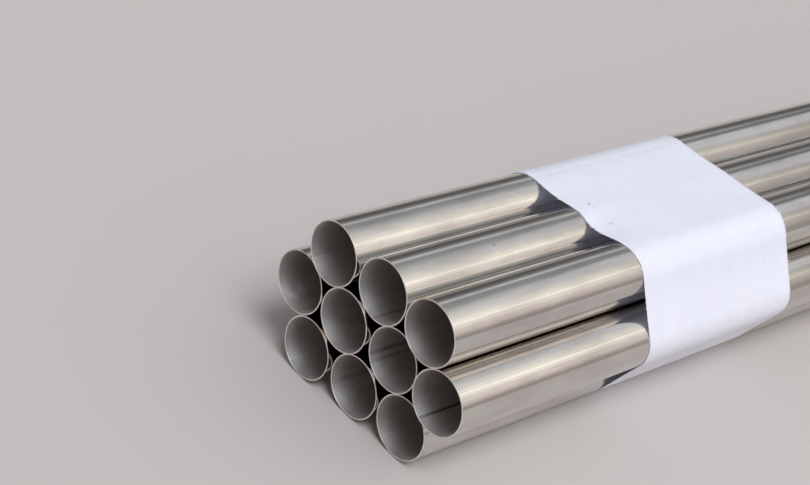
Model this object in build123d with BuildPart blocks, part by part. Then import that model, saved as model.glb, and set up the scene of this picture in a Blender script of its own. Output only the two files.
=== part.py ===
from build123d import *
import os

# A bundle of ten welded stainless steel pipes, stacked three, four and three
# in a hexagon and held by strips of white woven cloth wrapped round it.
# The pipes lie along Y. The origin is on the floor, under the middle.

# Pipe, in millimetres
pipe_outside_diameter = 101.6
pipe_wall = 2.0
pipe_length = 6000.0
# Burr taken off the inner and outer edge of each sawn end
pipe_edge_break = 0.3
# Gap left between two pipes that rest on each other
pipe_clearance = 0.3
# Weld bead along the bore, rolled down, the outside being ground flush
weld_width = 4.0
weld_height = 0.2

# Cloth wrap
wrap_width = 380.0
wrap_thickness = 0.8
wrap_count = 3
# From the pipes' ends to the nearest edge of the first and the last wrap
wrap_setback = 400.0
# Gap between the cloth and the pipes that it is pulled round
wrap_clearance = 0.3
# Length over which the end of each strip covers its beginning
wrap_lap = 80.0

# Number of pipes in each row
bottom_row_count = 3
middle_row_count = 4
top_row_count = 3

# How far each pipe stands back from the mean end of the bundle, and the
# direction of its weld from its axis, in degrees from +X towards +Z
pipe_stagger_and_weld = {
    "pipe_bottom_1": (-7.0, -122),
    "pipe_bottom_2": (3.0, -151),
    "pipe_bottom_3": (9.0, -123),
    "pipe_middle_1": (-6.0, -77),
    "pipe_middle_2": (-3.0, 40),
    "pipe_middle_3": (7.0, -155),
    "pipe_middle_4": (4.0, -116),
    "pipe_top_1": (-9.0, -138),
    "pipe_top_2": (1.0, -92),
    "pipe_top_3": (2.0, 65),
}

# Values that follow from the sizes above
pipe_radius = pipe_outside_diameter / 2
bore_radius = pipe_radius - pipe_wall
wall_middle_radius = pipe_radius - pipe_wall / 2
# The bead's top is a flat arc through its height and its two edges
weld_arc_radius = (weld_width**2 / 4 + weld_height**2) / (2 * weld_height)
weld_arc_centre = bore_radius - weld_height + weld_arc_radius
pitch = pipe_outside_diameter + pipe_clearance
row_rise = pitch * 3**0.5 / 2
lowest_axis = wrap_thickness + wrap_clearance + pipe_radius
wrap_inner_offset = pipe_radius + wrap_clearance
wrap_outer_offset = wrap_inner_offset + wrap_thickness
first_wrap = -pipe_length / 2 + wrap_setback + wrap_width / 2
wrap_spacing = -2 * first_wrap / (wrap_count - 1)

# Axis of every pipe, as (x, z), each row centred over the origin
pipe_axes = {}
row_counts = (bottom_row_count, middle_row_count, top_row_count)
for level, (row, count) in enumerate(zip(("bottom", "middle", "top"), row_counts)):
    for index in range(count):
        across = (index - (count - 1) / 2) * pitch
        pipe_axes[f"pipe_{row}_{index + 1}"] = (across, lowest_axis + level * row_rise)

# The pipes at the corners of the hexagon, going round it
corners = [
    pipe_axes["pipe_bottom_1"],
    pipe_axes[f"pipe_bottom_{bottom_row_count}"],
    pipe_axes[f"pipe_middle_{middle_row_count}"],
    pipe_axes[f"pipe_top_{top_row_count}"],
    pipe_axes["pipe_top_1"],
    pipe_axes["pipe_middle_1"],
]

os.makedirs("parts", exist_ok=True)

# Each pipe is a tube with square ends and one weld bead along its bore
for name, axis in pipe_axes.items():
    stagger, weld_angle = pipe_stagger_and_weld[name]
    far_end = pipe_length / 2 + stagger
    with BuildPart() as pipe:
        with BuildSketch(Plane.XZ.offset(-far_end)):
            with Locations(axis):
                Circle(pipe_radius)
                Circle(bore_radius, mode=Mode.SUBTRACT)
        extrude(amount=pipe_length)
        chamfer(pipe.edges().filter_by(GeomType.CIRCLE), length=pipe_edge_break)
        with BuildSketch(Plane.XZ.offset(pipe_edge_break - far_end)):
            with Locations(axis):
                with PolarLocations(weld_arc_centre, 1, start_angle=weld_angle):
                    Circle(weld_arc_radius)
                Circle(wall_middle_radius, mode=Mode.INTERSECT)
        extrude(amount=pipe_length - 2 * pipe_edge_break)
    pipe.part.label = name
    export_step(pipe.part, f"parts/{name}.step")

# The lap lies on the straight run between the two upper left corner pipes
lap_run = Vector(*corners[4]) - Vector(*corners[5])
lap_outward = Vector(-lap_run.Y, lap_run.X).normalized()
lap_offset = wrap_outer_offset + wrap_thickness / 2
lap_centre = Vector(*corners[5]) + lap_run / 2 + lap_outward * lap_offset
lap_slope = Vector(1, 0).get_angle(lap_run)

# Each wrap is pulled tight: it follows the corner pipes and runs straight
# between them, and its end laps over its beginning
for number in range(wrap_count):
    far_edge = first_wrap + number * wrap_spacing + wrap_width / 2
    with BuildPart() as wrap:
        with BuildSketch(Plane.XZ.offset(-far_edge)):
            Polygon(*corners, align=None)
            offset(amount=wrap_outer_offset)
            with BuildSketch(mode=Mode.SUBTRACT):
                Polygon(*corners, align=None)
                offset(amount=wrap_inner_offset)
            with Locations((lap_centre.X, lap_centre.Y)):
                Rectangle(wrap_lap, wrap_thickness, rotation=lap_slope)
        extrude(amount=wrap_width)
    wrap.part.label = f"wrap_{number + 1}"
    export_step(wrap.part, f"parts/wrap_{number + 1}.step")
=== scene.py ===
"""Looks for a bundle of ten welded stainless steel pipes, held by wraps of white woven cloth."""

import math

import bpy
from bpy.props import FloatProperty, FloatVectorProperty, PointerProperty, StringProperty
from mathutils import Matrix, Quaternion, Vector, noise


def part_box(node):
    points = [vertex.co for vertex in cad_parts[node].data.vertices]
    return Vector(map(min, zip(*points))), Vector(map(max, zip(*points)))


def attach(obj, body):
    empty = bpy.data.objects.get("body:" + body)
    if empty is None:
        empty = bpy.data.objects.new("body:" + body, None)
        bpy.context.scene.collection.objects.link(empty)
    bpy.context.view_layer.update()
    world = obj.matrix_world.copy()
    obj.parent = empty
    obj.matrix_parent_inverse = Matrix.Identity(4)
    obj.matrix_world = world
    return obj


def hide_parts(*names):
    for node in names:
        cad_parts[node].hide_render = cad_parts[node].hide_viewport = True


bl_info = {
    "name": "Steel Pipe Bundle",
    "version": (1, 0, 0),
    "blender": (4, 5, 0),
    "location": "View3D > Sidebar > Pipe bundle",
    "description": "Finishes a bundle of welded stainless steel pipes and its cloth wraps",
    "category": "Object",
}

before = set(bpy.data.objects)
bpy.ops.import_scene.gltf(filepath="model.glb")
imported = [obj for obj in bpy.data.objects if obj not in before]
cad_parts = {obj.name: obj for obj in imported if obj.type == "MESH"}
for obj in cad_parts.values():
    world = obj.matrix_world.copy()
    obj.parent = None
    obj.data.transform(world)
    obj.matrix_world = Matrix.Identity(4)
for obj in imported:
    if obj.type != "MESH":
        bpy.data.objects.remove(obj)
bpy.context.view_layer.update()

MM = 0.001
PIPES = sorted(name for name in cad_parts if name.startswith("pipe_"))
WRAPS = sorted(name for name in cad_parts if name.startswith("wrap_"))

# Lines down each bore, the weld first, except pipe_top_2's one line, which is painted shade along
# the
# edge of the shadow in its bore: direction from the axis, in degrees from +X towards +Z, how dark
# (below 0, how light) it is, half its width and how deep it shows, in mm
BORE_LINES = {
    "pipe_bottom_1": ((-123, -0.30, 2.0, 45),),
    "pipe_bottom_2": ((-151, 0.22, 3.0, 90),),
    "pipe_bottom_3": ((-124, -0.22, 2.2, 50),),
    "pipe_middle_1": ((-77, 0.22, 2.5, 150),),
    "pipe_middle_2": ((40, 0.30, 3.0, 150),),
    "pipe_middle_3": ((-155, 0.50, 2.6, 110), (-140, 0.35, 2.2, 110)),
    "pipe_middle_4": ((-116, 0.85, 1.8, 260),),
    "pipe_top_1": ((-138, -0.30, 2.0, 75), (-142, 0.20, 2.5, 90)),
    # No weld: painted shade, darker along the edge of the shadow in this bore
    "pipe_top_2": ((-93, 0.40, 2.5, 120),),
    "pipe_top_3": ((65, 0.30, 3.0, 150),),
}

# Lighter patches in the bores near the mouths: direction in degrees, depth, half length along and
# half width round the bore in millimetres, and how light
BORE_LIGHT_PATCHES = {
    "pipe_middle_1": (
        (-121, 11, 4.5, 2.6, 0.45), (-116, 15, 5.0, 3.2, 0.60), (-111, 19, 4.0, 2.6, 0.45),
        (-124, 38, 8.5, 9.0, 0.45), (-115, 42, 4.0, 5.0, 0.35),
    ),
    "pipe_bottom_1": ((-112, 17, 9.0, 8.0, 0.22),),
    "pipe_bottom_2": (
        (-107, 46, 2.2, 2.2, 1.00), (-103, 23, 3.5, 2.0, 0.45), (-97, 30, 2.2, 1.8, 0.40),
        (-95, 10, 5.0, 1.4, 0.60),
    ),
}

# Corner pipes that a wrap is pulled round, clockwise as seen from the pipes' mouths,
# and how many pitches of the stack lie between each and the one before it
CORNERS = (
    ("pipe_middle_1", 1), ("pipe_top_1", 1), ("pipe_top_3", 2),
    ("pipe_middle_4", 1), ("pipe_bottom_3", 1), ("pipe_bottom_1", 2),
)

# A hollow as long as the span that it is in
WHOLE_SPAN = (0, 45, 57, 102)

# Where a wrap is slack: the span it is in, counted from the lap, where the hollow starts,
# is full, ends being full and is over along the strip, its depth, the edge that it is at
# (0 near, 1 far) and how far it reaches in from there, all in millimetres
HOLLOWS = {
    "wrap_1": (
        (2, (-2, 36, 46, 93), 5.5, 0, 80),
        (2, WHOLE_SPAN, 0.9, 1, 190),
        (1, WHOLE_SPAN, 0.7, 1, 240),
        (1, (8, 48, 54, 94), 1.6, 0, 120),
        (3, WHOLE_SPAN, 1.4, 1, 260),
        (0, WHOLE_SPAN, 2.0, 0, 200),
    ),
    "wrap_2": (
        (1, (0, 40, 52, 100), 5.5, 1, 90),
        (2, WHOLE_SPAN, 3.0, 0, 240),
        (1, WHOLE_SPAN, 2.4, 0, 240),
        (3, (6, 40, 50, 96), 2.6, 0, 110),
        (0, WHOLE_SPAN, 3.0, 1, 160),
    ),
    "wrap_3": (
        (2, (4, 50, 62, 98), 4.5, 1, 80),
        (2, WHOLE_SPAN, 2.6, 0, 220),
        (1, WHOLE_SPAN, 3.2, 0, 200),
        (3, WHOLE_SPAN, 1.8, 1, 200),
        (0, (5, 48, 60, 99), 4.0, 1, 80),
    ),
}

# Nicks outside: direction in degrees, distance from the mouth, half length along and half
# width round the pipe in millimetres, and how dark
NICKS = {
    "pipe_top_2": ((71, 194, 2.4, 1.8, 0.65),),
    "pipe_top_3": ((48, 1830, 3.5, 1.6, 0.40),),
    "pipe_middle_4": ((22, 3470, 3.0, 2.0, 0.45),),
    "pipe_middle_1": ((158, 2760, 3.2, 1.8, 0.45),),
}

# Specks of dirt on a wrap: how far along its strip and from its near edge, radius in
# millimetres, and how dark
SPECKS = {
    "wrap_1": (
        (237, 36, 3.0, 0.85), (246, 39, 2.2, 0.50), (238, 59, 2.4, 0.35), (288, 36, 3.4, 0.45),
        (288, 90, 2.6, 0.25), (520, 210, 2.2, 0.30),
    ),
    "wrap_2": ((310, 250, 2.8, 0.60), (180, 90, 2.2, 0.50), (700, 120, 3.0, 0.50)),
    "wrap_3": ((260, 300, 2.8, 0.70), (430, 70, 2.4, 0.45), (960, 200, 3.0, 0.55)),
}

# How each wrap slants, in millimetres: the near edge's mean shift and swing, the far
# edge's, where the swing is furthest in degrees round from the lap, and the drift in a turn
SLANTS = {
    "wrap_1": ((6.0, 11.0, 1.0, 7.0), 20, 5.0),
    "wrap_2": ((0.0, 6.0, 2.0, 8.0), 140, -7.0),
    "wrap_3": ((-2.0, 8.0, -4.0, 5.0), 250, 6.0),
}

# Soft light across the bundle: how far round from the right over the top, in degrees,
# and how bright and of what colour it is there, as of long softboxes beside and above
SOFT_LIGHT = (
    (0, 0.26, "#FFF8F6"), (9, 0.48, "#FFEEEA"), (20, 0.90, "#FFF0EC"), (34, 1.02, "#FFF7F2"),
    (47, 1.24, "#FFF9F0"), (51, 1.68, "#FFF9EE"), (55, 1.27, "#FFFAF0"), (76, 0.92, "#FAFBF9"),
    (96, 0.68, "#F4F7F8"), (110, 0.48, "#F2F5F8"), (122, 0.37, "#F0F4FA"), (130, 0.40, "#F0F4FA"),
    (135.5, 1.00, "#F2F5FA"), (141, 0.36, "#F4F5F8"), (149, 0.20, "#F6F5F4"),
    (162, 0.12, "#F6F5F4"), (180, 0.09, "#F8F5F2"),
)
# Over how much of the direction's Y the long soft light fades at its two ends
LIGHT_FADE = 0.25

# Spans between neighbouring outer pipes in one turn of a wrap
SPANS = sum(pitches for _, pitches in CORNERS)

# Least air between cloth and steel, or between two layers of cloth, and over the floor
AIR = 0.1 * MM
FLOOR_AIR = 0.12 * MM

# Fine ripples of the cloth: their size across and along the strip in metres, their height
# as a share, and where in the noise they are taken
RIPPLES = ((0.027, 0.30, 1.0, 0), (0.012, 0.19, 0.55, 7))
# In mm: how high they are on a bend, how much higher halfway between bends, and how
# far out of its tight line they may bring the cloth
RIPPLE_ON_BEND = 0.10
RIPPLE_BETWEEN = 0.55
MOST_OUT = 0.25
# Share of a ripple's height by which the cloth is drawn in all over
RIPPLE_MEAN = 0.35
# How far a cut edge wanders from its line, in mm, and in how many metres
RAGGED = 0.8
RAGGED_LENGTH = 0.11
# How far a slack edge spreads outward, as a share of its slack
SPREAD = 0.8

# Creases behind a bend: where they begin, are full, end being full and are over, in mm
CREASES = (-1, 9, 12, 62)

# How far before its beginning the strip's end starts to climb, and is on top
CLIMB = (18 * MM, 2 * MM)

# The two rows of stitches, from the strip's end
STITCH_ROWS = (11 * MM, 17 * MM)

# Scale at which a Wave Texture repeats once in each unit
WAVE = math.pi / 10


class PipeFinish(bpy.types.PropertyGroup):
    """Sizes and colours of the steel."""

    wall: FloatProperty(
        name="Wall", description="Thickness of a pipe's wall",
        default=2.0 * MM, unit="LENGTH", precision=5)
    edge_break: FloatProperty(
        name="Edge break", description="Burr taken off the edges of a sawn end",
        default=0.3 * MM, unit="LENGTH", precision=5)
    polished: StringProperty(
        name="Polished steel", description="sRGB hex of the polished outside", default="#DAD7D2")
    worn: StringProperty(
        name="Worn polish", description="sRGB hex of the duller streaks outside", default="#B7B0AD")
    mill: StringProperty(
        name="Mill finish", description="sRGB hex of the unpolished bore", default="#DEDAD7")
    mill_stain: StringProperty(
        name="Mill stain", description="sRGB hex of the duller stains in the bore",
        default="#CDC8C4")
    # Colour of the light lines and lighter patches in the bores, and also painted light: the bore
    # is painted lighter near its mouth
    bright_marks_and_painted_light: StringProperty(
        name="Scuffed", description="sRGB hex of scuffs in the bore", default="#FFFFFF")
    # Also painted shade: pipe_top_2's bore line along the edge of the shadow takes this colour
    heat_tint_and_painted_shade: StringProperty(
        name="Heat tint", description="sRGB hex of the steel beside the weld", default="#6C6560")
    sawn: StringProperty(
        name="Sawn end", description="sRGB hex of the cut ends", default="#EEE7E5")
    sawn_warm: StringProperty(
        name="Sawn end, warm", description="sRGB hex of the parts that the saw warmed",
        default="#DDB08E")
    roughness: FloatProperty(
        name="Roughness", description="Least roughness of the polished outside",
        default=0.06, min=0.0, max=1.0, subtype="FACTOR")
    drawn_out: FloatProperty(
        name="Drawn out", description="How far the shine is drawn out along the pipe",
        default=0.9, min=0.0, max=1.0, subtype="FACTOR")
    lines: FloatProperty(
        name="Lines", description="How strongly the polishing lines show in the colour",
        default=0.24, min=0.0, max=1.0, subtype="FACTOR")
    stains: FloatProperty(
        name="Stains", description="How strongly stains show in the outside's colour",
        default=0.45, min=0.0, max=1.0, subtype="FACTOR")
    line_depth: FloatProperty(
        name="Line depth", description="Depth of the polishing lines",
        default=0.01 * MM, unit="LENGTH", precision=5)
    flats: FloatProperty(
        name="Flats", description="Depth of the long flats that the rolls leave",
        default=0.12 * MM, unit="LENGTH", precision=5)
    bore_roughness: FloatProperty(
        name="Bore roughness", description="Roughness of the bore",
        default=0.54, min=0.0, max=1.0, subtype="FACTOR")


class WrapFinish(bpy.types.PropertyGroup):
    """Sizes and colours of the cloth wraps."""

    thickness: FloatProperty(
        name="Thickness", description="Thickness of the cloth",
        default=0.5 * MM, unit="LENGTH", precision=5)
    clearance: FloatProperty(
        name="Clearance", description="From a corner pipe to the middle of the cloth",
        default=0.7 * MM, unit="LENGTH", precision=5)
    lap: FloatProperty(
        name="Lap", description="Length over which the strip's end covers its beginning",
        default=80 * MM, unit="LENGTH", precision=4)
    step: FloatProperty(
        name="Step", description="Size of the cloth mesh's squares",
        default=4.5 * MM, unit="LENGTH", precision=5)
    tape: FloatProperty(
        name="Tape", description="Width of the flat tapes that the cloth is woven from",
        default=2.5 * MM, unit="LENGTH", precision=5)
    weave_depth: FloatProperty(
        name="Weave depth", description="Depth of the weave between its tapes",
        default=0.06 * MM, unit="LENGTH", precision=5)
    pulled_depth: FloatProperty(
        name="Pulled depth", description="Depth of the places where the cloth was pulled",
        default=0.5 * MM, unit="LENGTH", precision=5)
    pleat_depth: FloatProperty(
        name="Pleat depth", description="Depth of the creases behind a bend",
        default=2.2 * MM, unit="LENGTH", precision=5)
    cloth: StringProperty(
        name="Cloth", description="sRGB hex of the cloth", default="#E4E6F6")
    # Also painted shade: the creases behind a bend are painted toward this colour
    cloth_pulled_and_painted_shade: StringProperty(
        name="Cloth, shaded", description="sRGB hex of the cloth where it was pulled",
        default="#DADDEE")
    dirt: StringProperty(
        name="Dirt", description="sRGB hex of specks on the cloth", default="#8A8D99")
    thread: StringProperty(
        name="Thread", description="sRGB hex of the sewing thread", default="#F2F0E8")
    thread_shade: StringProperty(
        name="Thread, shaded", description="sRGB hex of the thread between its plies",
        default="#D9D6CC")


class StageSettings(bpy.types.PropertyGroup):
    """Camera, floor and lights."""

    camera_place: FloatVectorProperty(
        name="Camera place", description="Where the camera stands",
        default=(1.3132, -4.6063, 1.5945), subtype="XYZ", unit="LENGTH")
    camera_aim: FloatVectorProperty(
        name="Camera aim", description="A point that the camera looks at",
        default=(-0.0813, -2.8852, 0.2331), subtype="XYZ", unit="LENGTH")
    camera_roll: FloatProperty(
        name="Camera roll", description="Turn of the camera about its line of sight",
        default=math.radians(17.9), subtype="ANGLE")
    lens: FloatProperty(
        name="Lens", description="Focal length for a sensor 36 mm wide",
        default=77.54, unit="CAMERA")
    floor_colour: StringProperty(
        name="Floor", description="sRGB hex of the floor", default="#BCB7B4")
    room_colour: StringProperty(
        name="Room", description="sRGB hex of the light from all round", default="#F2F4F6")
    room_light: FloatProperty(
        name="Room light", description="Brightness of the light from past the pipes' far ends",
        default=0.12, min=0.0)
    front_light: FloatProperty(
        name="Front light", description="Share of the long soft light that reaches past the mouths",
        default=0.36, min=0.0, max=1.0, subtype="FACTOR")
    backdrop: FloatProperty(
        name="Backdrop", description="Brightness of the pale backdrop, low down all round",
        default=0.82, min=0.0)
    backdrop_height: FloatProperty(
        name="Backdrop height", description="How far the backdrop reaches above the floor's edge",
        default=math.radians(10), subtype="ANGLE")
    far_end: FloatProperty(
        name="Far end", description="Where the long soft light begins to fade, toward the far ends",
        default=0.68)
    near_end: FloatProperty(
        name="Near end", description="Where the long soft light begins to fade, toward the mouths",
        default=0.08)
    key_from: FloatVectorProperty(
        name="Key from", description="Direction that the soft key light comes from",
        default=(0.47, -0.20, 0.86), subtype="DIRECTION")
    key_size: FloatProperty(
        name="Key size", description="Half the angle that the key light fills",
        default=math.radians(14), subtype="ANGLE")
    key_colour: StringProperty(
        name="Key colour", description="sRGB hex of the key light", default="#F6F8FF")
    key_light: FloatProperty(
        name="Key light", description="Brightness of the key light", default=11.4, min=0.0)
    top_from: FloatVectorProperty(
        name="Top from", description="Direction that the soft light over the far part comes from",
        default=(-0.05, 0.84, 0.54), subtype="DIRECTION")
    top_size: FloatProperty(
        name="Top size", description="Half the angle that the top light fills",
        default=math.radians(11), subtype="ANGLE")
    top_light: FloatProperty(
        name="Top light", description="Brightness of the top light", default=0.78, min=0.0)


def linear(hex_colour, share=1.0):
    """The linear RGBA colour of an sRGB hex value, dimmed to a share."""
    channels = [int(hex_colour[i:i + 2], 16) / 255 for i in (1, 3, 5)]
    straight = [c / 12.92 if c <= 0.04045 else ((c + 0.055) / 1.055) ** 2.4 for c in channels]
    return (*(share * c for c in straight), 1.0)


def connect(tree, node, inputs):
    """Sets or links a node's inputs, by name or number."""
    for name, value in inputs.items():
        if isinstance(value, bpy.types.NodeSocket):
            tree.links.new(value, node.inputs[name])
        else:
            node.inputs[name].default_value = value


def add_node(tree, kind, inputs=None, **settings):
    """Adds a node, sets its properties, and sets or links its inputs."""
    node = tree.nodes.new(kind)
    for name, value in settings.items():
        setattr(node, name, value)
    connect(tree, node, inputs or {})
    return node


def maths(tree, operation, *values, clamp=False):
    """The result of a Math node."""
    node = add_node(
        tree, "ShaderNodeMath", dict(enumerate(values)), operation=operation, use_clamp=clamp)
    return node.outputs["Value"]


def vector_maths(tree, operation, *values):
    """The result of a Vector Math node, which is a value or a vector."""
    node = add_node(tree, "ShaderNodeVectorMath", dict(enumerate(values)), operation=operation)
    is_value = operation in ("LENGTH", "DISTANCE", "DOT_PRODUCT")
    return node.outputs["Value" if is_value else "Vector"]


def mix_values(tree, share, first, second):
    """The first value, with a share of the second in its place."""
    return add_node(tree, "ShaderNodeMix", {0: share, 2: first, 3: second}).outputs["Result"]


def mix_colours(tree, share, first, second):
    """The first colour, with a share of the second in its place."""
    inputs = {0: share, 6: first, 7: second}
    return add_node(tree, "ShaderNodeMix", inputs, data_type="RGBA").outputs["Result"]


def fade(tree, value, low, high, at_low=0.0, at_high=1.0, soft=True):
    """Runs from at_low to at_high as a value runs from low to high."""
    node = add_node(tree, "ShaderNodeMapRange", {
        "Value": value, "From Min": low, "From Max": high, "To Min": at_low,
        "To Max": at_high}, interpolation_type="SMOOTHSTEP" if soft else "LINEAR")
    return node.outputs["Result"]


def moved(tree, place, shift=(0, 0, 0), scale=(1, 1, 1)):
    """A place, scaled and then shifted."""
    node = add_node(tree, "ShaderNodeMapping", {
        "Vector": place, "Location": shift, "Scale": scale})
    return node.outputs["Vector"]


def noise_at(tree, place, scale, detail=2.0, roughness=0.5):
    """Soft noise from 0 to 1, with about as many spots in each unit as scale says."""
    node = add_node(tree, "ShaderNodeTexNoise", {
        "Vector": place, "Scale": scale, "Detail": detail, "Roughness": roughness})
    return node.outputs["Fac"]


def bumped(tree, height, depth, below=None, strength=1.0):
    """The normal of relief of a depth, laid over the relief below it."""
    inputs = {"Height": height, "Strength": strength, "Distance": depth}
    if below is not None:
        inputs["Normal"] = below
    return add_node(tree, "ShaderNodeBump", inputs).outputs["Normal"]


def new_material(name):
    """A material with its shader and output, and nothing linked to the shader yet."""
    material = bpy.data.materials.new(name)
    material.use_nodes = True
    tree = material.node_tree
    tree.nodes.clear()
    shader = add_node(tree, "ShaderNodeBsdfPrincipled")
    add_node(tree, "ShaderNodeOutputMaterial", {"Surface": shader.outputs["BSDF"]})
    return material, tree, shader


def spot(tree, place, centre, size, share):
    """A soft spot: share out to 0.4 of its size along each axis, and 0 from 1.4 of it."""
    offset = vector_maths(tree, "SUBTRACT", place, centre)
    reach = vector_maths(
        tree, "LENGTH", vector_maths(tree, "MULTIPLY", offset, [1 / s for s in size]))
    return fade(tree, reach, 0.4, 1.4, share, 0.0)


def smooth(value, low, high):
    """0 below low, 1 above high, and a soft step between."""
    part = min(max((value - low) / (high - low), 0.0), 1.0)
    return part * part * (3 - 2 * part)


def swell(value, rise, full, ends, over):
    """0 up to rise, 1 from full to ends, and 0 again past over, with soft steps."""
    return smooth(value, rise, full) * (1 - smooth(value, ends, over))


def on_circle(radius, degrees):
    """The point of a circle round a pipe's axis at an angle from +X towards +Z."""
    angle = math.radians(degrees)
    return Vector((radius * math.cos(angle), 0, radius * math.sin(angle)))


# Steel

def marks(tree, table, pipe, place, radius):
    """Soft spots for a pipe's marks in a table, on its outside or in its bore."""
    low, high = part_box(pipe)
    spots = []
    for degrees, deep, half_long, half_wide, share in table.get(pipe, ()):
        where = on_circle(radius, degrees) + Vector((0, deep * MM - (high.y - low.y) / 2, 0))
        size = (half_wide * MM, half_long * MM, half_wide * MM)
        spots.append(spot(tree, place, where, size, share))
    return spots


def bore_skin(tree, pipe, finish, place, across, depth, stains, bore):
    """The mill's skin down a bore, with its weld, its lines, its lighter patches, painted light
    near the mouth and, in pipe_top_2, painted shade.
    """
    # Painted light: the first few millimetres of the bore are painted lighter, where light comes in
    # at the mouth
    darker, lighter = [], [fade(tree, depth, 8 * MM, 30 * MM, 0.35, 0.0)]
    # A line has soft sides, and fades to a quarter of its strength further in
    for degrees, dark, half_width, shown in BORE_LINES[pipe]:
        offset = vector_maths(tree, "DISTANCE", across, on_circle(bore, degrees))
        strength = fade(
            tree, depth, 0.35 * shown * MM, shown * MM, abs(dark), 0.25 * abs(dark), soft=False)
        line = fade(tree, offset, 0.35 * half_width * MM, 1.9 * half_width * MM, strength, 0.0)
        (darker if dark > 0 else lighter).append(line)
    lighter += marks(tree, BORE_LIGHT_PATCHES, pipe, place, bore)
    colour = mix_colours(tree, stains, linear(finish.mill), linear(finish.mill_stain))
    # Darker lines take the heat tint, and pipe_top_2's line is painted shade; lighter ones take the
    # bright colour, including painted light near the mouth
    for shares, shade in ((darker, finish.heat_tint_and_painted_shade), (lighter, finish.bright_marks_and_painted_light)):
        for share in shares:
            colour = mix_colours(tree, share, colour, linear(shade))
    return colour


def stainless_steel(pipe, number, finish):
    """Welded stainless steel pipe.

    The outside is belt polished, which leaves fine lines along it and a soft, streaky
    shine. The bore keeps the mill's dull grey skin, with a heat-tinted weld down it. The
    ends are freshly sawn, so they are bright and warm in tone.
    """
    material, tree, shader = new_material(f"stainless_steel_{pipe}")
    low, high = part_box(pipe)
    radius = (high.x - low.x) / 2
    bore = radius - finish.wall
    half_length = (high.y - low.y) / 2
    # Surfaces this far from a bore or a sawn face still belong to it
    bore_reach, end_reach = 0.1 * MM, 0.02 * MM

    place = moved(tree, add_node(tree, "ShaderNodeTexCoord").outputs["Object"], -(low + high) / 2)
    across = vector_maths(tree, "MULTIPLY", place, (1, 0, 1))
    from_axis = vector_maths(tree, "LENGTH", across)
    in_bore = maths(tree, "LESS_THAN", from_axis, bore + bore_reach)
    along = add_node(tree, "ShaderNodeSeparateXYZ", {"Vector": place}).outputs["Y"]
    from_middle = maths(tree, "ABSOLUTE", along)
    at_end = maths(
        tree, "GREATER_THAN", from_middle, half_length - finish.edge_break - end_reach)
    depth = maths(tree, "SUBTRACT", half_length, from_middle)

    # Each pipe has its own part of every pattern.
    # Lines about 2 mm wide and 500 mm long; real ones are finer and wouldn't show
    stretched = moved(tree, place, (number * 3.7, number, 0), (1, 0.005, 1))
    streaks = fade(tree, noise_at(tree, stretched, 420.0, 4.0, 0.7), 0.36, 0.64, soft=False)
    # Flats about 12 mm wide that the rolls leave along the strip
    broad = noise_at(tree, stretched, 85.0)
    # Rings that the polishing belt leaves round the pipe, 3 mm apart
    squeezed = moved(tree, place, (0, number * 1.3, 0), (0.08, 1, 0.08))
    rings = noise_at(tree, squeezed, 330.0)
    # Stains about 30 mm wide and 120 mm long
    smeared = moved(tree, place, (0, number * 2.1, 0), (1, 0.25, 1))
    clouds = noise_at(tree, smeared, 34.0, 4.0, 0.6)
    stains = fade(tree, clouds, 0.42, 0.68, soft=False)
    # Grain of the mill's skin, about 1 mm
    grain = noise_at(tree, place, 900.0)

    worn_lines = maths(tree, "MULTIPLY", streaks, finish.lines)
    worn = maths(tree, "MULTIPLY_ADD", stains, finish.stains, worn_lines)
    outside = mix_colours(tree, worn, linear(finish.polished), linear(finish.worn))
    for share in marks(tree, NICKS, pipe, place, radius):
        outside = mix_colours(tree, share, outside, linear(finish.heat_tint_and_painted_shade))
    inside = bore_skin(tree, pipe, finish, place, across, depth, stains, bore)
    skin = mix_colours(tree, in_bore, outside, inside)
    warm = fade(tree, clouds, 0.5, 0.7, 0.0, 0.8, soft=False)
    sawn = mix_colours(tree, warm, linear(finish.sawn), linear(finish.sawn_warm))

    # Lines and stains are a little duller than what is between them
    dull_lines = maths(tree, "MULTIPLY_ADD", streaks, 0.04, finish.roughness)
    outside_roughness = maths(tree, "MULTIPLY_ADD", stains, 0.06, dull_lines)
    inside_roughness = maths(tree, "MULTIPLY_ADD", stains, 0.05, finish.bore_roughness)
    roughness = mix_values(tree, in_bore, outside_roughness, inside_roughness)
    # The belt runs round the pipe, so its scratches draw the shine out along the outside
    round_pipe = add_node(tree, "ShaderNodeTangent", direction_type="RADIAL", axis="Y")
    drawn_out = maths(tree, "MULTIPLY_ADD", in_bore, -finish.drawn_out, finish.drawn_out)
    # The flats make the reflections streaky
    flats = bumped(tree, broad, finish.flats)
    tooth = maths(tree, "MULTIPLY_ADD", streaks, 0.5, rings)
    relief = mix_values(tree, in_bore, tooth, grain)
    # The torn grains of a saw cut are rougher and partly matt
    connect(tree, shader, {
        "Base Color": mix_colours(tree, at_end, skin, sawn),
        "Roughness": mix_values(tree, at_end, roughness, 0.42),
        "Metallic": mix_values(tree, at_end, 1.0, 0.55),
        "Tangent": round_pipe.outputs["Tangent"],
        "Anisotropic": drawn_out, "Anisotropic Rotation": 0.25,
        "Normal": bumped(tree, relief, finish.line_depth, flats)})
    return material


class BUNDLE_OT_pipes(bpy.types.Operator):
    """Gives each pipe its steel"""

    bl_idname = "bundle.pipes"
    bl_label = "Finish the pipes"

    def execute(self, context):
        for number, pipe in enumerate(PIPES):
            steel = stainless_steel(pipe, number, context.scene.bundle_pipes)
            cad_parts[pipe].material_slots[0].material = steel
        return {"FINISHED"}


# Cloth wraps

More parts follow.
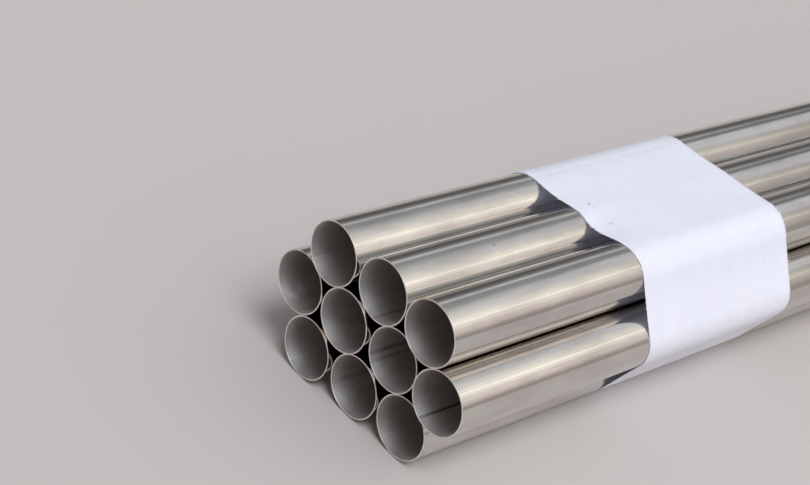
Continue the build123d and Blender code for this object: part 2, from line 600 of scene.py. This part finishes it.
def woven_cloth(name, number, finish):
    """Woven polypropylene cloth with a thin coating.

    Flat tapes in a plain weave give a fine even tooth, and the coating a soft sheen.
    """
    material, tree, shader = new_material(f"woven_polypropylene_{name}")
    flat = add_node(tree, "ShaderNodeTexCoord").outputs["UV"]
    tapes = moved(tree, flat, scale=(1 / finish.tape, 1 / finish.tape, 1))
    over = add_node(tree, "ShaderNodeTexChecker", {"Vector": tapes, "Scale": 1.0})
    along, across = (
        add_node(tree, "ShaderNodeTexWave", {"Vector": tapes, "Scale": WAVE}, bands_direction=axis)
        for axis in "XY")
    weave = mix_values(tree, over.outputs["Fac"], along.outputs["Fac"], across.outputs["Fac"])
    # Pulled places, 400 mm long and 40 mm wide
    pulled = noise_at(tree, moved(tree, flat, (number * 5, 0, 0), (2.5, 26, 1)), 1.0, 4.0, 0.6)
    # Short creases side by side, 12 mm apart, where the strip comes off a bend; they are bumped and
    # also painted darker, as painted shade in the creases
    gathered = noise_at(tree, moved(tree, flat, (0, number * 3, 0), (9, 84, 1)), 1.0)
    at_bend = add_node(tree, "ShaderNodeAttribute", attribute_name="bend").outputs["Fac"]
    pleats = maths(tree, "MULTIPLY", gathered, at_bend)
    # The colour darkens where the cloth was pulled, and with painted shade in the creases behind a
    # bend
    shaded = maths(tree, "ADD", pleats, pulled, clamp=True)
    colour = mix_colours(tree, shaded, linear(finish.cloth), linear(finish.cloth_pulled_and_painted_shade))
    for along_strip, across_strip, radius, dark in SPECKS[name]:
        where = (along_strip * MM, across_strip * MM, 0)
        speck = spot(tree, flat, where, [0.85 * radius * MM] * 3, dark)
        colour = mix_colours(tree, speck, colour, linear(finish.dirt))
    fine = bumped(tree, weave, finish.weave_depth, strength=0.6)
    creased = bumped(tree, pulled, finish.pulled_depth, fine)
    # The cloth is thin enough to let some light through
    connect(tree, shader, {
        "Base Color": colour, "Roughness": 0.5, "Sheen Weight": 0.1,
        "Subsurface Weight": 0.8, "Subsurface Radius": (1.0, 1.0, 1.0),
        "Subsurface Scale": 1.0 * MM,
        "Normal": bumped(tree, pleats, finish.pleat_depth, creased)})
    return material


def strip_sections(finish):
    """The straight runs and bends that a wrap follows, from its lap round to its lap again."""
    axes = []
    for pipe, _ in CORNERS:
        low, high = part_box(pipe)
        middle = (low + high) / 2
        axes.append(Vector((middle.x, middle.z)))
    radius = (high.x - low.x) / 2 + finish.clearance
    sections = []
    span = 0
    # The run that has the lap comes twice, first and last
    for index in range(len(axes) + 1):
        start, end, after = (axes[(index + step) % len(axes)] for step in range(3))
        pitches = CORNERS[(index + 1) % len(axes)][1]
        direction = (end - start).normalized()
        normal = Vector((-direction.y, direction.x))
        turned = (after - end).normalized()
        bend = math.acos(min(max(direction.dot(turned), -1.0), 1.0))
        sections.append({
            "kind": "run", "length": (end - start).length, "start": start + normal * radius,
            "direction": direction, "normal": normal, "span": span % SPANS, "pitches": pitches})
        sections.append({
            "kind": "bend", "length": radius * bend, "centre": end, "normal": normal,
            "radius": radius})
        span += pitches
    return sections, radius


def place_on_strip(sections, distance):
    """Point, normal, span, distance into it and its length, at a distance along a strip."""
    for section in sections:
        if distance <= section["length"] or section is sections[-1]:
            break
        distance -= section["length"]
    if section["kind"] == "run":
        point = section["start"] + section["direction"] * distance
        pitch = section["length"] / section["pitches"]
        part = min(int(distance / pitch), section["pitches"] - 1)
        return point, section["normal"], section["span"] + part, distance - part * pitch, pitch
    angle = distance / section["radius"]
    normal = section["normal"].copy()
    normal.rotate(Matrix.Rotation(-angle, 2))
    return section["centre"] + normal * section["radius"], normal, None, 0.0, 1.0


def strip_slack(name, span, into, across, width):
    """How far a wrap's hollows bring it inside its tight line, in metres.

    into is the distance into the span, and across the distance from the near edge.
    """
    slack = 0.0
    for at_span, shape, depth, edge, reach in HOLLOWS[name]:
        if at_span == span:
            from_edge = across if edge == 0 else width - across
            held = (1 - smooth(from_edge / MM, 0, reach)) ** 0.8
            slack += depth * MM * swell(into / MM, *shape) * held
    return slack


def hold_off(slack, span, into, pitch, radius):
    """The slack, held smoothly to the gap between the tight line and the pipes' rounds."""
    if span is None:
        return min(slack, AIR)
    near = min(into, pitch - into)
    gap = radius - math.sqrt(max(radius * radius - near * near, 0.0)) + AIR
    soft = 0.6 * MM
    mixed = max(soft - abs(slack - gap), 0.0) / soft
    return min(slack, gap) - mixed * mixed * soft / 4


def ripple_at(across, flat, number):
    """Height of a wrap's fine ripples at a place on its strip, about -1 to 1."""
    return sum(
        height * noise.noise(Vector((across / wide, flat / long, 17.0 * number + shift)))
        for wide, long, height, shift in RIPPLES)


def bend_creases(sections, distance):
    """How strongly a place on a strip is creased by the bend that it comes off."""
    passed, past = 0.0, 1.0
    for section in sections:
        passed += section["length"]
        if section["kind"] == "bend" and distance > passed:
            past = min(past, distance - passed)
    return swell(past / MM, *CREASES)


def wrap_mesh(name, number, finish):
    """The middle surface of a wrap as rows of points, from the lap round to the lap.

    Gives each row's outward normal and creasing too, and the strip's length and width.
    """
    sections, radius = strip_sections(finish)
    low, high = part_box(name)
    width = high.y - low.y
    perimeter = sum(section["length"] for section in sections[:2 * len(CORNERS)])
    first = (sections[0]["length"] - finish.lap) / 2
    length = perimeter + finish.lap
    steps_along = round(length / finish.step)
    steps_across = round(width / finish.step)
    slant, phase, wander = SLANTS[name]
    layer = finish.thickness + AIR
    rows, outward, bent = [], [], []
    for i in range(steps_along + 1):
        flat = length * i / steps_along
        distance = first + flat
        point, normal, span, into, pitch = place_on_strip(sections, distance)
        bent.append(bend_creases(sections, distance))
        # The end of the strip lies on its beginning, and takes its ripples
        over = smooth(flat, perimeter - CLIMB[0], perimeter - CLIMB[1])
        turn = 2 * math.pi * distance / perimeter - math.radians(phase)
        run_free = 0.0 if span is None else math.sin(math.pi * into / pitch)
        lively = RIPPLE_ON_BEND + RIPPLE_BETWEEN * run_free
        near_edge = slant[0] - slant[1] * math.cos(turn)
        far_edge = slant[2] - slant[3] * math.cos(turn)
        drift = wander * (distance / perimeter - 0.5)
        row = []
        for j in range(steps_across + 1):
            part = j / steps_across
            across = width * part
            edge = 40 * number + 9 * round(part)
            ragged = RAGGED * noise.noise(Vector((flat / RAGGED_LENGTH, edge, 3.0)))
            y = low.y + across + MM * (near_edge + (far_edge - near_edge) * part + drift + ragged)
            under = across + wander * MM * over
            slack = strip_slack(name, span, into, under, width)
            y += SPREAD * slack * (2 * part - 1)
            ripple = ripple_at(across, flat, number)
            if over > 0:
                ripple += (ripple_at(under, flat - perimeter, number) - ripple) * over
            drawn_in = slack + MM * lively * (ripple + RIPPLE_MEAN)
            inward = max(hold_off(drawn_in, span, into, pitch, radius), -MOST_OUT * MM)
            place = point + normal * (layer * over - inward)
            place.y = max(place.y, finish.thickness * 0.5 + FLOOR_AIR)
            row.append(Vector((place.x, y, place.y)))
        rows.append(row)
        outward.append(Vector((normal.x, 0, normal.y)))
    return rows, outward, bent, length, width


def sheet_object(name, rows, bent, length, width, material, finish):
    """A mesh object of rows of points, with its flat cut as UV in metres.

    Its attribute bend says how close behind a bend of the strip a point is.
    """
    across = len(rows[0])
    points = [tuple(point) for row in rows for point in row]
    faces = []
    for i in range(len(rows) - 1):
        for j in range(across - 1):
            a = i * across + j
            faces.append((a, a + across, a + across + 1, a + 1))
    mesh = bpy.data.meshes.new(name)
    mesh.from_pydata(points, [], faces)
    uv = mesh.uv_layers.new(name="cut")
    for loop in mesh.loops:
        i, j = divmod(loop.vertex_index, across)
        uv.data[loop.index].uv = (length * i / (len(rows) - 1), width * j / (across - 1))
    values = mesh.attributes.new("bend", "FLOAT", "POINT")
    values.data.foreach_set("value", [share for share in bent for _ in range(across)])
    mesh.shade_smooth()
    mesh.materials.append(material)
    piece = bpy.data.objects.new(name, mesh)
    bpy.context.collection.objects.link(piece)
    body = piece.modifiers.new("thickness", "SOLIDIFY")
    body.thickness = finish.thickness
    body.offset = 0.0
    body.use_even_offset = True
    return piece


def node_tree(name, inputs):
    """A Geometry Nodes tree with named inputs, and the sockets that they come out of."""
    tree = bpy.data.node_groups.new(name, "GeometryNodeTree")
    tree.is_modifier = True
    tree.interface.new_socket("Geometry", in_out="INPUT", socket_type="NodeSocketGeometry")
    for label, (kind, value) in inputs.items():
        socket = tree.interface.new_socket(label, in_out="INPUT", socket_type=kind)
        if value is not None:
            socket.default_value = value
    tree.interface.new_socket("Geometry", in_out="OUTPUT", socket_type="NodeSocketGeometry")
    return tree, add_node(tree, "NodeGroupInput").outputs


def along_line(tree, inputs, pitch, shape, lean, scale, keep):
    """Sets a shape at every pitch along the input's lines, upright on the cloth."""
    curve = add_node(tree, "GeometryNodeMeshToCurve", {"Mesh": inputs["Geometry"]})
    points = add_node(tree, "GeometryNodeResampleCurve", {
        "Curve": curve.outputs["Curve"], "Length": pitch}, mode="LENGTH")
    surface, heading = (
        add_node(
            tree, "GeometryNodeInputNamedAttribute", {"Name": name},
            data_type="FLOAT_VECTOR").outputs["Attribute"]
        for name in ("surface", "heading"))
    upright = add_node(tree, "FunctionNodeAxesToRotation", {
        "Primary Axis": surface, "Secondary Axis": heading},
        primary_axis="Z", secondary_axis="X")
    leaning = add_node(tree, "FunctionNodeRandomValue", {
        0: tuple(-v for v in lean), 1: lean, "Seed": inputs["Seed"]}, data_type="FLOAT_VECTOR")
    turned = add_node(tree, "FunctionNodeRotateRotation", {
        "Rotation": upright.outputs["Rotation"], "Rotate By": leaning.outputs["Value"]},
        rotation_space="LOCAL")
    placed = add_node(tree, "GeometryNodeInstanceOnPoints", {
        "Points": points.outputs["Curve"], "Selection": keep, "Instance": shape,
        "Rotation": turned.outputs["Rotation"], "Scale": scale})
    real = add_node(tree, "GeometryNodeRealizeInstances", {
        "Geometry": placed.outputs["Instances"]})
    finished = add_node(tree, "GeometryNodeSetMaterial", {
        "Geometry": real.outputs["Geometry"], "Material": inputs["Material"]})
    add_node(tree, "NodeGroupOutput", {"Geometry": finished.outputs["Geometry"]})


def tape_end_tree(finish):
    """Loose ends of the cloth's tapes along its cut edges."""
    tree, inputs = node_tree("tape_ends", {
        "Tape pitch": ("NodeSocketFloat", finish.tape * 1.06),
        "Tape width": ("NodeSocketFloat", finish.tape * 0.86),
        "Tape thickness": ("NodeSocketFloat", 0.12 * MM),
        "Shortest end": ("NodeSocketFloat", 0.7 * MM),
        "Longest end": ("NodeSocketFloat", 2.6 * MM),
        "Seed": ("NodeSocketInt", 1),
        "Material": ("NodeSocketMaterial", None)})
    size = add_node(tree, "ShaderNodeCombineXYZ", {
        "X": 1.0, "Y": inputs["Tape width"], "Z": inputs["Tape thickness"]})
    tape = add_node(tree, "GeometryNodeMeshCube", {
        "Size": size.outputs["Vector"], "Vertices X": 2, "Vertices Y": 2, "Vertices Z": 2})
    outward = add_node(tree, "GeometryNodeTransform", {
        "Geometry": tape.outputs["Mesh"], "Translation": (0.5, 0, 0)})
    # Most ends are short, and a few stick out
    chance = add_node(tree, "FunctionNodeRandomValue", {"Seed": inputs["Seed"]})
    rare = maths(tree, "POWER", chance.outputs[1], 6.0)
    reach = maths(tree, "MULTIPLY_ADD", rare, inputs["Longest end"], inputs["Shortest end"])
    scale = add_node(tree, "ShaderNodeCombineXYZ", {"X": reach, "Y": 1.0, "Z": 1.0})
    keep = add_node(tree, "FunctionNodeRandomValue", {
        "Probability": 0.6, "Seed": maths(tree, "ADD", inputs["Seed"], 31.0)},
        data_type="BOOLEAN")
    along_line(
        tree, inputs, inputs["Tape pitch"], outward.outputs["Geometry"], (0.0, 0.12, 0.25),
        scale.outputs["Vector"], keep.outputs[3])
    return tree


def stitch_tree():
    """A row of stitches that holds the lap."""
    tree, inputs = node_tree("stitches", {
        "Stitch pitch": ("NodeSocketFloat", 4.5 * MM),
        "Thread": ("NodeSocketFloat", 0.45 * MM),
        "Seed": ("NodeSocketInt", 1),
        "Material": ("NodeSocketMaterial", None)})
    thread = add_node(tree, "GeometryNodeCurvePrimitiveCircle", {
        "Resolution": 6, "Radius": inputs["Thread"]})
    arch = add_node(tree, "GeometryNodeCurvePrimitiveBezierSegment", {
        "Resolution": 4, "Start": (-1.75 * MM, 0, -0.2 * MM), "End": (1.75 * MM, 0, -0.2 * MM),
        "Start Handle": (-1.5 * MM, 0, 0.7 * MM), "End Handle": (1.5 * MM, 0, 0.7 * MM)})
    stitch = add_node(tree, "GeometryNodeCurveToMesh", {
        "Curve": arch.outputs["Curve"], "Profile Curve": thread.outputs["Curve"],
        "Fill Caps": True})
    along_line(
        tree, inputs, inputs["Stitch pitch"], stitch.outputs["Mesh"], (0.0, 0.03, 0.10),
        (1.0, 1.0, 1.0), True)
    return tree


def line_object(name, lines):
    """Separate lines of (point, surface normal, heading), for a tree to set shapes along."""
    points, edges = [], []
    for line in lines:
        edges += [(len(points) + i, len(points) + i + 1) for i in range(len(line) - 1)]
        points += line
    mesh = bpy.data.meshes.new(name)
    mesh.from_pydata([point for point, _, _ in points], edges, [])
    for index, label in ((1, "surface"), (2, "heading")):
        values = mesh.attributes.new(label, "FLOAT_VECTOR", "POINT")
        values.data.foreach_set("vector", [v for point in points for v in point[index]])
    line = bpy.data.objects.new(name, mesh)
    bpy.context.collection.objects.link(line)
    return line


def run_tree(line, tree, values, name):
    """Runs a tree on a line, and gives the result as a plain mesh object."""
    modifier = line.modifiers.new(tree.name, "NODES")
    modifier.node_group = tree
    for item in tree.interface.items_tree:
        if item.in_out == "INPUT" and item.name in values:
            modifier[item.identifier] = values[item.name]
    graph = bpy.context.evaluated_depsgraph_get()
    mesh = bpy.data.meshes.new_from_object(line.evaluated_get(graph))
    if not mesh.polygons:
        raise RuntimeError(f"{name} came out empty")
    mesh.name = name
    bpy.data.objects.remove(line)
    piece = bpy.data.objects.new(name, mesh)
    bpy.context.collection.objects.link(piece)
    return piece


def cotton_thread(finish):
    """Twisted cotton sewing thread, matt."""
    material, tree, shader = new_material("cotton_thread")
    place = add_node(tree, "ShaderNodeTexCoord").outputs["Object"]
    # Plies 0.4 mm apart, slanting along the thread
    plies = add_node(tree, "ShaderNodeTexWave", {
        "Vector": place, "Scale": WAVE / (0.4 * MM), "Distortion": 1.0},
        bands_direction="DIAGONAL").outputs["Fac"]
    connect(tree, shader, {
        "Base Color": mix_colours(tree, plies, linear(finish.thread_shade), linear(finish.thread)),
        "Roughness": 0.85, "Normal": bumped(tree, plies, 0.05 * MM)})
    return material


def cut_edges(rows, outward):
    """Lines just inside a strip's two cut edges, heading off the cloth.

    They leave out the places where the tapes' ends would reach the floor.
    """
    inset, least_height = 0.4 * MM, 4 * MM
    lines = []
    for edge, inner in ((0, 1), (-1, -2)):
        line = []
        for row, normal in zip(rows, outward):
            heading = (row[edge] - row[inner]).normalized()
            if row[edge].z > least_height:
                line.append((row[edge] - heading * inset, normal, heading))
            elif len(line) > 1:
                lines.append(line)
                line = []
        lines.append(line)
    return lines


def lap_rows(rows, outward, length, finish):
    """Two lines across the strip near its end, where the lap is sewn."""
    lines = []
    for from_end in STITCH_ROWS:
        index = round((length - from_end) / length * (len(rows) - 1))
        row, normal = rows[index], outward[index]
        lift = normal * finish.thickness / 2
        points = [point + lift for point in row[1:-1]]
        lines.append([(point, normal, (0, 1, 0)) for point in points])
    return lines


class BUNDLE_OT_wraps(bpy.types.Operator):
    """Pulls a strip of cloth round the pipes for each wrap, and sews its lap"""

    bl_idname = "bundle.wraps"
    bl_label = "Make the cloth wraps"

    def execute(self, context):
        finish = context.scene.bundle_wraps
        ends, stitches, thread = tape_end_tree(finish), stitch_tree(), cotton_thread(finish)
        for number, wrap in enumerate(WRAPS):
            rows, outward, bent, length, width = wrap_mesh(wrap, number, finish)
            cloth = woven_cloth(wrap, number, finish)
            piece = sheet_object(f"cloth_{wrap}", rows, bent, length, width, cloth, finish)
            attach(piece, "root")
            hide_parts(wrap)
            frayed = run_tree(
                line_object("cut_edges", cut_edges(rows, outward)), ends,
                {"Seed": number + 1, "Material": cloth}, f"tape_ends_{wrap}")
            sewn = run_tree(
                line_object("lap", lap_rows(rows, outward, length, finish)), stitches,
                {"Seed": number + 1, "Material": thread}, f"stitches_{wrap}")
            for trim in (frayed, sewn):
                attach(trim, "root")
        return {"FINISHED"}


# Stage

def floor_paint(colour):
    """Plain pale painted floor, matt."""
    material, tree, shader = new_material("floor_paint")
    connect(tree, shader, {"Base Color": linear(colour), "Roughness": 0.7})
    return material


def round_softbox(tree, toward, behind, place, size, colour):
    """A round softbox in place of what is behind it, its edge soft from 0.6 to 1.4 of its size."""
    near = vector_maths(tree, "DOT_PRODUCT", toward, Vector(place).normalized())
    inside = fade(tree, near, math.cos(1.4 * size), math.cos(0.6 * size))
    return mix_colours(tree, inside, behind, colour)


def studio_light(settings):
    """A plain studio: long soft light to the right of the pipes and over them."""
    world = bpy.data.worlds.new("studio")
    world.use_nodes = True
    tree = world.node_tree
    brightest = max(settings.key_light, *(bright for _, bright, _ in SOFT_LIGHT))
    toward = add_node(tree, "ShaderNodeTexCoord").outputs["Generated"]
    direction = add_node(tree, "ShaderNodeSeparateXYZ", {"Vector": toward}).outputs
    round_angle = maths(tree, "ARCTAN2", direction["Z"], direction["X"])
    half_turns = maths(tree, "DIVIDE", round_angle, math.pi)
    ramp = add_node(tree, "ShaderNodeValToRGB", {"Fac": half_turns})
    ramp.color_ramp.interpolation = "B_SPLINE"
    stops = ramp.color_ramp.elements
    while len(stops) < len(SOFT_LIGHT):
        stops.new(0.5)
    for stop, (degrees, bright, colour) in zip(stops, SOFT_LIGHT):
        stop.position = degrees / 180
        stop.color = linear(colour, bright / brightest)
    light = ramp.outputs["Color"]
    # The long soft light dims past the mouths, and ends some way past the far ends
    dimmed = add_node(tree, "ShaderNodeVectorMath", {
        0: light, "Scale": settings.front_light}, operation="SCALE")
    room = linear(settings.room_colour, settings.room_light / brightest)
    for begins, ends, beyond in (
            (-settings.near_end, -settings.near_end - LIGHT_FADE, dimmed.outputs["Vector"]),
            (settings.far_end, settings.far_end + LIGHT_FADE, room)):
        light = mix_colours(tree, fade(tree, direction["Y"], begins, ends), light, beyond)
    # A round softbox in front of the mouths lights the near part of the bores, and
    # another one the tops of the pipes behind the first wrap
    for place, size, bright in (
            (settings.key_from, settings.key_size, settings.key_light),
            (settings.top_from, settings.top_size, settings.top_light)):
        colour = linear(settings.key_colour, bright / brightest)
        light = round_softbox(tree, toward, light, place, size, colour)
    # The floor ends in a pale backdrop, as far as a low camera sees
    height = math.sin(settings.backdrop_height)
    low_down = fade(tree, direction["Z"], 0.3 * height, height, 1.0, 0.0)
    pale = linear(settings.floor_colour, settings.backdrop / brightest)
    connect(tree, tree.nodes["Background"], {
        "Color": mix_colours(tree, low_down, light, pale), "Strength": brightest})
    return world


class BUNDLE_OT_stage(bpy.types.Operator):
    """Makes the floor, the lights and the camera"""

    bl_idname = "bundle.stage"
    bl_label = "Set the stage"

    def execute(self, context):
        scene = context.scene
        settings = scene.bundle_stage
        scene.view_settings.view_transform = "Standard"

        # Metres from the middle to the floor's edges, past what a low camera sees
        reach = 60.0
        mesh = bpy.data.meshes.new("floor")
        corners = [(-reach, -reach, 0), (reach, -reach, 0), (reach, reach, 0), (-reach, reach, 0)]
        mesh.from_pydata(corners, [], [(0, 1, 2, 3)])
        floor = bpy.data.objects.new("floor", mesh)
        mesh.materials.append(floor_paint(settings.floor_colour))
        scene.collection.objects.link(floor)

        scene.world = studio_light(settings)

        data = bpy.data.cameras.new("camera")
        data.lens = settings.lens
        data.sensor_width = 36.0
        camera = bpy.data.objects.new("camera", data)
        scene.collection.objects.link(camera)
        place, aim = Vector(settings.camera_place), Vector(settings.camera_aim)
        camera.location = place
        camera.rotation_mode = "QUATERNION"
        upright = (aim - place).to_track_quat("-Z", "Y")
        camera.rotation_quaternion = upright @ Quaternion((0, 0, 1), settings.camera_roll)
        scene.camera = camera
        return {"FINISHED"}


class BUNDLE_PT_panel(bpy.types.Panel):
    """Lists the bundle's operators"""

    bl_idname = "BUNDLE_PT_panel"
    bl_label = "Pipe bundle"
    bl_space_type = "VIEW_3D"
    bl_region_type = "UI"
    bl_category = "Pipe bundle"

    def draw(self, context):
        for item in OPERATORS:
            self.layout.operator(item.bl_idname)


OPERATORS = (BUNDLE_OT_stage, BUNDLE_OT_pipes, BUNDLE_OT_wraps)
GROUPS = {"bundle_pipes": PipeFinish, "bundle_wraps": WrapFinish, "bundle_stage": StageSettings}
CLASSES = (*GROUPS.values(), *OPERATORS, BUNDLE_PT_panel)


def register():
    for item in CLASSES:
        bpy.utils.register_class(item)
    for name, group in GROUPS.items():
        setattr(bpy.types.Scene, name, PointerProperty(type=group))


def unregister():
    for name in GROUPS:
        delattr(bpy.types.Scene, name)
    for item in reversed(CLASSES):
        bpy.utils.unregister_class(item)


def main():
    register()
    bpy.ops.bundle.stage()
    bpy.ops.bundle.pipes()
    bpy.ops.bundle.wraps()


if __name__ == "__main__":
    main()
